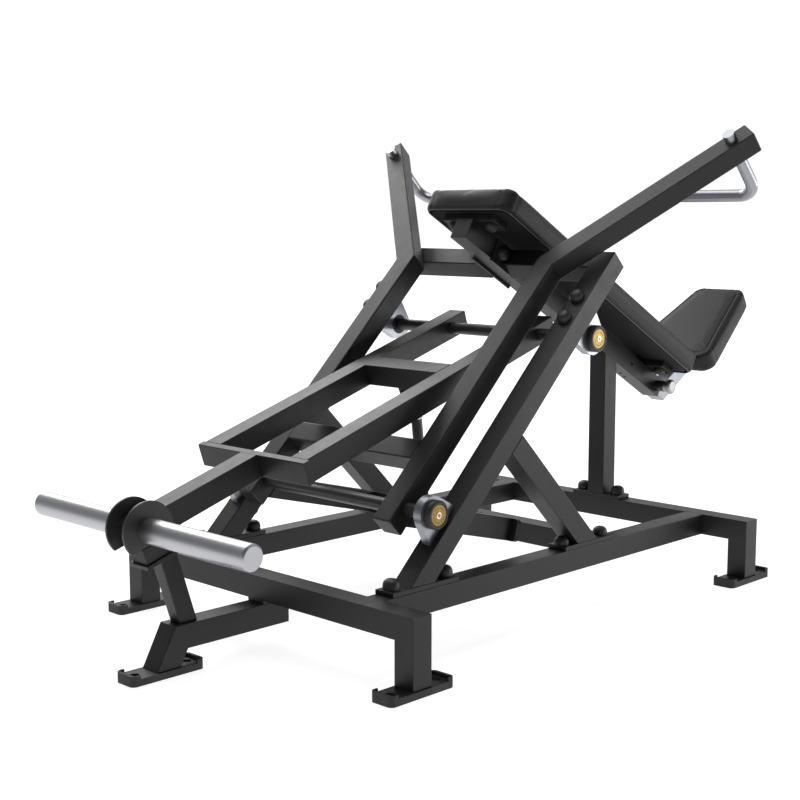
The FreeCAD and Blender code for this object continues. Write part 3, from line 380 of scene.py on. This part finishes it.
for n_ in "bearing_housings".split():
    paint(frame["nodes"][n_], CAST)
for n_ in "plate_horns".split():
    paint(frame["nodes"][n_], HORN)
for n_ in ("left_hand_grip", "right_hand_grip"):
    paint(frame["nodes"][n_], GRIP)
for n_ in ("link_eyes_and_pins", "pull_pin"):
    paint(frame["nodes"][n_], PIN_SILVER)
for n_ in ("lower_shaft_caps", "upper_shaft_caps"):
    paint(frame["nodes"][n_], GOLD)
for n_ in ("dome_bolts", "seat_guide_liner", "bearing_bushes"):
    paint(frame["nodes"][n_], PLASTIC)
for n_ in ("horn_collars", "link_rod", "lower_shaft", "upper_shaft", "pull_pin_housing"):
    paint(frame["nodes"][n_], ENAMEL)
for n_ in ("back_pad_board", "seat_board"):
    paint(frame["nodes"][n_], BOARD)


# ------------------------------------------------------------------ markings on the shaft caps, and a dark ring painted as shade round each cap face
def ring_piece(bm, c, side, r0, r1, a0, a1, depth, steps):
    """A flat curved bar or washer standing off a face whose outward direction is +Y or -Y."""
    full = abs(a1 - a0) > 2 * math.pi - 1e-6
    cols_ = []
    for k in range(steps if full else steps + 1):
        a = a0 + (a1 - a0) * k / steps
        u = Vector((math.cos(a), 0, math.sin(a)))
        col_ = []
        for r_, d_ in ((r0, -0.3 * MM), (r0, depth), (r1, depth), (r1, -0.3 * MM)):
            col_.append(bm.verts.new(c + u * r_ + Vector((0, side * d_, 0))))
        cols_.append(col_)
    n_ = len(cols_)
    for k in range(n_ if full else n_ - 1):
        p_, q_ = cols_[k], cols_[(k + 1) % n_]
        for i in range(4):
            bm.faces.new((p_[i], p_[(i + 1) % 4], q_[(i + 1) % 4], q_[i]))
    if not full:
        bm.faces.new(cols_[0])
        bm.faces.new(list(reversed(cols_[-1])))


def turned(bm, c, side, prof, steps=36):
    """A closed turned shape about Y: prof is radius, standing-off pairs from rim to middle."""
    rows_ = [[bm.verts.new(c + Vector((math.cos(2 * math.pi * k / steps) * r_, side * d_, math.sin(2 * math.pi * k / steps) * r_)))
              for k in range(steps)] for r_, d_ in prof]
    for a_, b_ in zip(rows_[:-1], rows_[1:]):
        for k in range(steps):
            j_ = (k + 1) % steps
            bm.faces.new((a_[k], a_[j_], b_[j_], b_[k]))
    bm.faces.new(rows_[0])
    bm.faces.new(rows_[-1])


for cap_node in ("lower_shaft_caps", "upper_shaft_caps"):
    pts_ = [v.co for v in frame["nodes"][cap_node].data.vertices]
    for side in (1, -1):
        mine = [p for p in pts_ if p.y * side > 0]
        cx = (min(p.x for p in mine) + max(p.x for p in mine)) / 2
        cz = (min(p.z for p in mine) + max(p.z for p in mine)) / 2
        face_y = side * max(p.y * side for p in mine if math.hypot(p.x - cx, p.z - cz) > 10 * MM)
        at_ = Vector((cx, face_y, cz))
        tag_ = "%s_%s" % (cap_node[:5], "left" if side > 0 else "right")
        bm = bmesh.new()
        # painted shade: a thin dark ring standing for the shade line round the cap's edge
        ring_piece(bm, at_, side, 21.2 * MM, 22.8 * MM, 0.0, 2 * math.pi, 0.5 * MM, 64)
        for k in range(16):
            a = 2 * math.pi * k / 16
            ring_piece(bm, at_, side, 14.4 * MM, 16.0 * MM, a, a + math.radians(9.0 + 5.0 * (k % 3)), 0.15 * MM, 4)
        bmesh.ops.recalc_face_normals(bm, faces=bm.faces)
        add_mesh(tag_ + "_cap_marks_and_shade_ring", bm, PLASTIC, body_of[cap_node], smooth=False)
        bm = bmesh.new()
        turned(bm, at_, side, [(7.0 * MM, -0.3 * MM), (7.0 * MM, 0.9 * MM), (6.2 * MM, 1.4 * MM), (3.4 * MM, 1.5 * MM),
                               (3.0 * MM, 0.9 * MM), (0.6 * MM, 0.9 * MM)])
        bmesh.ops.recalc_face_normals(bm, faces=bm.faces)
        add_mesh(tag_ + "_cap_screw", bm, CAP_SCREW, body_of[cap_node], smooth=False)


# ------------------------------------------------------------------ cushions
class Run:
    """A straight run in the XZ plane: a along it, y across, h above its reference plane, all in mm."""

    def __init__(self, x, z, deg, p0):
        c, s = math.cos(math.radians(deg)), math.sin(math.radians(deg))
        self.o = Vector((x - 719.75, 0, z))
        self.d = Vector((c, 0, s))
        self.w = Vector((-s, 0, c))
        self.p0 = p0

    def __call__(self, a, y, h):
        return (self.o + self.d * a + Vector((0, y, 0)) - self.w * (self.p0 - h)) * MM


BACK = Run(638.7, 882.0, -29.15, -15.0)
SEAT = Run(1502.1, 536.6, 31.1, 57.0)


def rounded_outline(corners, radius, step):
    """Points round a convex polygon with rounded corners, and the indices where each corner starts and ends."""
    pts, marks = [], []
    n = len(corners)
    tang = []
    for i in range(n):
        p, a, b = Vector(corners[i]), Vector(corners[i - 1]), Vector(corners[(i + 1) % n])
        u, v = (a - p).normalized(), (b - p).normalized()
        half = u.angle(v) / 2
        t = radius / math.tan(half)
        c = p + (u + v).normalized() * (radius / math.sin(half))
        tang.append((p + u * t, p + v * t, c, math.pi - 2 * half))
    for i in range(n):
        s, e, c, sweep = tang[i]
        k = max(6, round(radius * sweep / (step * 0.8)))
        a0 = math.atan2(s.y - c.y, s.x - c.x)
        a1 = math.atan2(e.y - c.y, e.x - c.x)
        da = (a1 - a0 + math.pi) % (2 * math.pi) - math.pi
        marks.append((len(pts), len(pts) + k))
        for j in range(k + 1):
            a = a0 + da * j / k
            pts.append(c + Vector((math.cos(a), math.sin(a))) * radius)
        nxt = tang[(i + 1) % n][0]
        m = max(2, round((nxt - e).length / step))
        for j in range(1, m):
            pts.append(e.lerp(nxt, j / m))
    return pts, marks


def inset(pts, dist):
    """The outline moved inward along its own normals."""
    n = len(pts)
    out = []
    for i, p in enumerate(pts):
        t = (pts[(i + 1) % n] - pts[i - 1]).normalized()
        out.append(p + Vector((-t.y, t.x)) * dist)
    return out


def cushion(name, node, run, corners, radius, thick, medial, body, crown, step, cap, seam_at=13.0, steps=20):
    outline, marks = rounded_outline(corners, radius, step)
    n = len(outline)
    R_low, R_top = 13.0, 12.0
    rings = []                       # (inset, height, kind, pull toward the middle 0..1)
    well = 10.6
    for s in (1.0, 0.75, 0.5, 0.25, 0.0):
        rings.append((well, 12.1, "well", s))
    rings.append((well, 6.0, "well", 0.0))
    rings.append((well, 0.5, "rim", 0.0))
    rings.append((8.6, 0.0, "rim", 0.0))
    for k in range(0, 6):
        a = math.radians(90 * k / 5)
        rings.append((6.5 - 6.5 * math.sin(a), 0.4 + R_low * (1 - math.cos(a)), "low", 0.0))
    h0, h1 = R_low + 0.4, thick - R_top
    for k in range(1, 5):
        rings.append((0.0, h0 + (h1 - h0) * k / 5, "side", 0.0))
    for k in range(0, 6):
        a = math.radians(90 * k / 5)
        rings.append((R_top * (1 - math.cos(a)), h1 + R_top * math.sin(a) - 1.0 * math.sin(a), "round", 0.0))
    for t in (seam_at - 0.2, seam_at + 2.0, seam_at + 4.2):
        rings.append((t, thick - 0.8, "seam", 0.0))
    top_start = seam_at + 4.2
    steps_in = max(6, round(110.0 / step))
    for k in range(1, steps_in + 1):
        rings.append((top_start, thick, "top", k / steps_in))
    bm = bmesh.new()
    tag = bm.verts.layers.int.new("ring")
    col = bm.verts.layers.int.new("col")
    grid, kinds = [], []
    for t, h, kind, s in rings:
        base = inset(outline, t)
        row = []
        for p in base:
            m = Vector((min(max(p.x, medial[0]), medial[1]), 0.0))
            q = p.lerp(m, s)
            hh = h
            if kind == "top":
                hh = thick - 0.8 + crown * (1 - (1 - s) ** 2.4)
            row.append(bm.verts.new(run(q.x, q.y, hh)))
        grid.append(row)
        kinds.append(kind)
    for i in range(len(grid) - 1):
        for j in range(n):
            k = (j + 1) % n
            bm.faces.new((grid[i][j], grid[i][k], grid[i + 1][k], grid[i + 1][j]))
    for i, row in enumerate(grid):
        for j, v in enumerate(row):
            v[tag] = i
            v[col] = j
    for row in (grid[0], grid[-1]):
        bmesh.ops.remove_doubles(bm, verts=[v for v in row if v.is_valid], dist=2e-5)
    bmesh.ops.recalc_face_normals(bm, faces=bm.faces)
    o = add_mesh(name, bm, VINYL, None)
    me = o.data
    ring = [d.value for d in me.attributes["ring"].data]
    cols = [d.value for d in me.attributes["col"].data]
    rest = [v.co.copy() for v in me.vertices]
    g = o.vertex_groups.new(name="hold")
    for i in range(len(rest)):
        k = kinds[ring[i]]
        wgt = {"well": 1.0, "rim": 1.0, "low": 0.55, "side": 0.0, "round": 0.0, "seam": 0.35, "top": 0.0}[k]
        if wgt:
            g.add([i], wgt, "REPLACE")
    m = o.modifiers.new("fill", "CLOTH")
    c = m.settings
    c.quality = 5
    c.mass = 0.35
    c.tension_stiffness = 30
    c.compression_stiffness = 30
    c.shear_stiffness = 12
    c.bending_stiffness = 9
    c.use_pressure = True
    c.uniform_pressure_force = 4.0
    c.effector_weights.gravity = 0.0
    c.vertex_group_mass = "hold"
    m.collision_settings.use_collision = False
    m.point_cache.frame_start, m.point_cache.frame_end = 1, steps
    scene.frame_start, scene.frame_end = 1, steps
    for f in range(1, steps + 1):
        scene.frame_set(f)
    ev = o.evaluated_get(bpy.context.evaluated_depsgraph_get())
    now = [v.co.copy() for v in ev.data.vertices]
    o.modifiers.remove(m)
    scene.frame_set(1)
    for i, v in enumerate(me.vertices):
        d = now[i] - rest[i]
        lim = cap * MM * (1.0 if kinds[ring[i]] == "top" else 0.42)
        if d.length > lim:
            d = d * (lim / d.length)
        v.co = rest[i] + d
    o.vertex_groups.clear()
    # the seam round the top panel is drawn in, and so are the four upright corner seams; both grooves are also painted
    # dark as shade
    me.update()
    nrm = [v.normal.copy() for v in me.vertices]
    seam_rows = [i for i, k in enumerate(kinds) if k == "seam"]
    seam_mid = seam_rows[1]
    ends = sorted(x for pair in marks for x in pair)
    seam_shade_paint = [0.0] * len(me.vertices)
    for i, v in enumerate(me.vertices):
        if ring[i] == seam_mid:
            v.co = v.co - nrm[i] * (2.6 * MM)
            seam_shade_paint[i] = 0.75
        elif ring[i] in seam_rows:
            v.co = v.co - nrm[i] * (0.25 * MM)
        elif kinds[ring[i]] in ("side", "round", "low") and cols[i] in ends:
            v.co = v.co - nrm[i] * (1.5 * MM)
            seam_shade_paint[i] = 0.8
    # painted shade: the darkening of the seam grooves, which the vinyl reads as the seam attribute
    at = me.attributes.new("seam", "FLOAT", "POINT")
    at.data.foreach_set("value", seam_shade_paint)
    for a_ in ("ring", "col"):
        me.attributes.remove(me.attributes[a_])
    s = o.modifiers.new("smooth", "SUBSURF")
    s.levels = s.render_levels = 1
    bpy.context.view_layer.objects.active = o
    ev = o.evaluated_get(bpy.context.evaluated_depsgraph_get())
    done = bpy.data.meshes.new_from_object(ev)
    o.modifiers.clear()
    o.data = done
    for p in done.polygons:
        p.use_smooth = True
    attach(o, body)
    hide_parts(node)
    return o, outline


def tube_ring(name, path, radius, mat, body, sides=8):
    """A closed thin cord through the points of path."""
    bm = bmesh.new()
    n = len(path)
    rows = []
    for i in range(n):
        t = (path[(i + 1) % n] - path[i - 1]).normalized()
        up = Vector((0, 1, 0)) if abs(t.y) < 0.9 else Vector((1, 0, 0))
        u = t.cross(up).normalized()
        v = t.cross(u).normalized()
        rows.append([bm.verts.new(path[i] + (u * math.cos(a) + v * math.sin(a)) * radius)
                     for a in (2 * math.pi * k / sides for k in range(sides))])
    # the frame may turn between neighbours, so each row is matched to the one before it
    for i in range(1, n):
        best = min(range(sides), key=lambda s: (rows[i][s].co - rows[i - 1][0].co).length)
        rows[i] = rows[i][best:] + rows[i][:best]
        if (rows[i][1].co - rows[i - 1][1].co).length > (rows[i][-1].co - rows[i - 1][1].co).length:
            rows[i] = [rows[i][0]] + rows[i][:0:-1]
    for i in range(n):
        a, b = rows[i], rows[(i + 1) % n]
        if i == n - 1:
            best = min(range(sides), key=lambda s: (b[s].co - a[0].co).length)
            b = b[best:] + b[:best]
            if (b[1].co - a[1].co).length > (b[-1].co - a[1].co).length:
                b = [b[0]] + b[:0:-1]
        for k in range(sides):
            bm.faces.new((a[k], a[(k + 1) % sides], b[(k + 1) % sides], b[k]))
    bmesh.ops.recalc_face_normals(bm, faces=bm.faces)
    return add_mesh(name, bm, mat, body)


back, back_line = cushion(
    "back_cushion", "back_pad", BACK, [(-20, -131), (883, -131), (883, 131), (-20, 131)], 30.0, 57.0,
    (113.0, 747.0), "base", 3.0, 8.0, 6.0)
hw = lambda s: 131.0 - 0.184 * s
seat, seat_line = cushion(
    "seat_cushion", "seat_pad", SEAT, [(-46, -hw(-46)), (288, -hw(288)), (288, hw(288)), (-46, hw(-46))], 36.0, 57.0,
    (82.0, 196.0), "seat_carriage", 1.6, 7.0, 4.0)
for nm, run_, line_, body_ in (("back", BACK, back_line, "base"), ("seat", SEAT, seat_line, "seat_carriage")):
    cord = [run_(p.x, p.y, 0.9) for p in inset(line_, 7.2)]
    tube_ring(nm + "_piping", cord, 1.5 * MM, PIPING, body_)


# ------------------------------------------------------------------ camera, light, floor
cam_data = bpy.data.cameras.new("camera")
cam_data.lens = 63.0
cam_data.sensor_width = 36.0
cam = bpy.data.objects.new("camera", cam_data)
scene.collection.objects.link(cam)
cam.location = (-2.51274, -2.18164, 0.88429)
psi, theta = math.radians(44.535), math.radians(7.436)
look = Vector((math.cos(psi) * math.cos(theta), math.sin(psi) * math.cos(theta), -math.sin(theta)))
cam.rotation_mode = "QUATERNION"
cam.rotation_quaternion = look.to_track_quat("-Z", "Y")
scene.camera = cam

bm = bmesh.new()
bmesh.ops.create_grid(bm, x_segments=2, y_segments=2, size=30.0)
floor = add_mesh("floor", bm, PLASTIC, None)
floor.location = (0, 0, -0.0004)
# painted light: the floor glows (emission), weaker towards the left and right of the view and stronger far behind the
# machine, to wash out its shadow and set what the machine reflects
fl = Shader("glowing_floor")
glow = fl.n("ShaderNodeEmission")
glow.inputs["Color"].default_value = (1, 1, 1, 1)
lit = fl.n("ShaderNodeVectorMath")
lit.operation = "DOT_PRODUCT"
lit.inputs[1].default_value = (-0.87, 0.49, 0.0)
fl.link(fl.co.outputs["Object"], lit.inputs[0])
lit2 = fl.n("ShaderNodeVectorMath")
lit2.operation = "DOT_PRODUCT"
lit2.inputs[1].default_value = (0.477, -0.879, 0.0)
fl.link(fl.co.outputs["Object"], lit2.inputs[0])
left_fade = fl.n("ShaderNodeMapRange", interpolation_type="SMOOTHSTEP")
right_fade = fl.n("ShaderNodeMapRange", interpolation_type="SMOOTHSTEP")
for nd, src_, a_, b_, low in ((left_fade, lit, 1.2, 3.2, 0.62), (right_fade, lit2, 1.0, 3.2, 0.6)):
    nd.inputs["From Min"].default_value = a_
    nd.inputs["From Max"].default_value = b_
    nd.inputs["To Min"].default_value = 1.0
    nd.inputs["To Max"].default_value = low
    fl.link(src_.outputs["Value"], nd.inputs["Value"])
fade = fl.math("MULTIPLY", left_fade.outputs[0], right_fade.outputs[0])
away = fl.n("ShaderNodeVectorMath")
away.operation = "DOT_PRODUCT"
away.inputs[1].default_value = (0.70, 0.71, 0.0)
fl.link(fl.co.outputs["Object"], away.inputs[0])
lift = fl.remap(away.outputs["Value"], 1.5, 6.0, 0.84, 1.2)
fl.link(fl.math("MULTIPLY", fade, lift), glow.inputs["Strength"])
fl.set(Base_Color=fl.mix(fl.noise(3.0, 2.0), (0.43, 0.43, 0.43), (0.45, 0.45, 0.45)), Roughness=0.9, Specular_IOR_Level=0.1)
addn = fl.n("ShaderNodeAddShader")
fl.link(fl.p.outputs[0], addn.inputs[0])
fl.link(glow.outputs[0], addn.inputs[1])
fl.link(addn.outputs[0], fl.out.inputs[0])
paint(floor, fl.mat)

world = bpy.data.worlds.new("studio")
scene.world = world
world.use_nodes = True
wt = world.node_tree
wt.nodes.clear()
wo = wt.nodes.new("ShaderNodeOutputWorld")
bg = wt.nodes.new("ShaderNodeBackground")
tc = wt.nodes.new("ShaderNodeTexCoord")
dot = wt.nodes.new("ShaderNodeVectorMath")
dot.operation = "DOT_PRODUCT"
dot.inputs[1].default_value = Vector((0.74, 0.64, 0.2)).normalized()
ramp = wt.nodes.new("ShaderNodeValToRGB")
cr = ramp.color_ramp
cr.elements[0].position, cr.elements[0].color = 0.22, (0.20, 0.20, 0.204, 1)
cr.elements[1].position, cr.elements[1].color = 0.88, (1.05, 1.05, 1.05, 1)
e = cr.elements.new(0.60)
e.color = (0.33, 0.33, 0.34, 1)
mr = wt.nodes.new("ShaderNodeMapRange")
mr.inputs["From Min"].default_value = -1.0
mr.inputs["From Max"].default_value = 1.0
wt.links.new(tc.outputs["Generated"], dot.inputs[0])
wt.links.new(dot.outputs["Value"], mr.inputs["Value"])
wt.links.new(mr.outputs[0], ramp.inputs[0])
wt.links.new(ramp.outputs[0], bg.inputs[0])
up = wt.nodes.new("ShaderNodeSeparateXYZ")
high = wt.nodes.new("ShaderNodeMapRange")
for k, v in (("From Min", 0.16), ("From Max", 0.42), ("To Min", 1.0), ("To Max", 0.62)):
    high.inputs[k].default_value = v
wt.links.new(tc.outputs["Generated"], up.inputs[0])
wt.links.new(up.outputs["Z"], high.inputs["Value"])
wt.links.new(high.outputs[0], bg.inputs["Strength"])
wt.links.new(bg.outputs[0], wo.inputs[0])


def softbox(name, loc, aim, size, power):
    d = bpy.data.lights.new(name, "AREA")
    d.shape = "RECTANGLE"
    d.size, d.size_y = size
    d.energy = power
    o = bpy.data.objects.new(name, d)
    scene.collection.objects.link(o)
    o.location = loc
    o.rotation_mode = "QUATERNION"
    o.rotation_quaternion = (Vector(aim) - Vector(loc)).to_track_quat("-Z", "Y")
    return o


softbox("top_box", (-0.3, 0.3, 3.8), (0, 0, 0.3), (2.6, 2.6), 60.0)
softbox("right_box", (3.0, -2.5, 0.6), (0.1, 0, 0.4), (2.4, 1.0), 34.0)
softbox("back_box", (0.9, 3.3, 3.3), (-0.2, 0, 0.5), (3.4, 2.0), 100.0)

scene.view_settings.view_transform = "Standard"
scene.view_settings.look = "None"
scene.view_settings.exposure = 0.0
scene.view_settings.gamma = 1.0
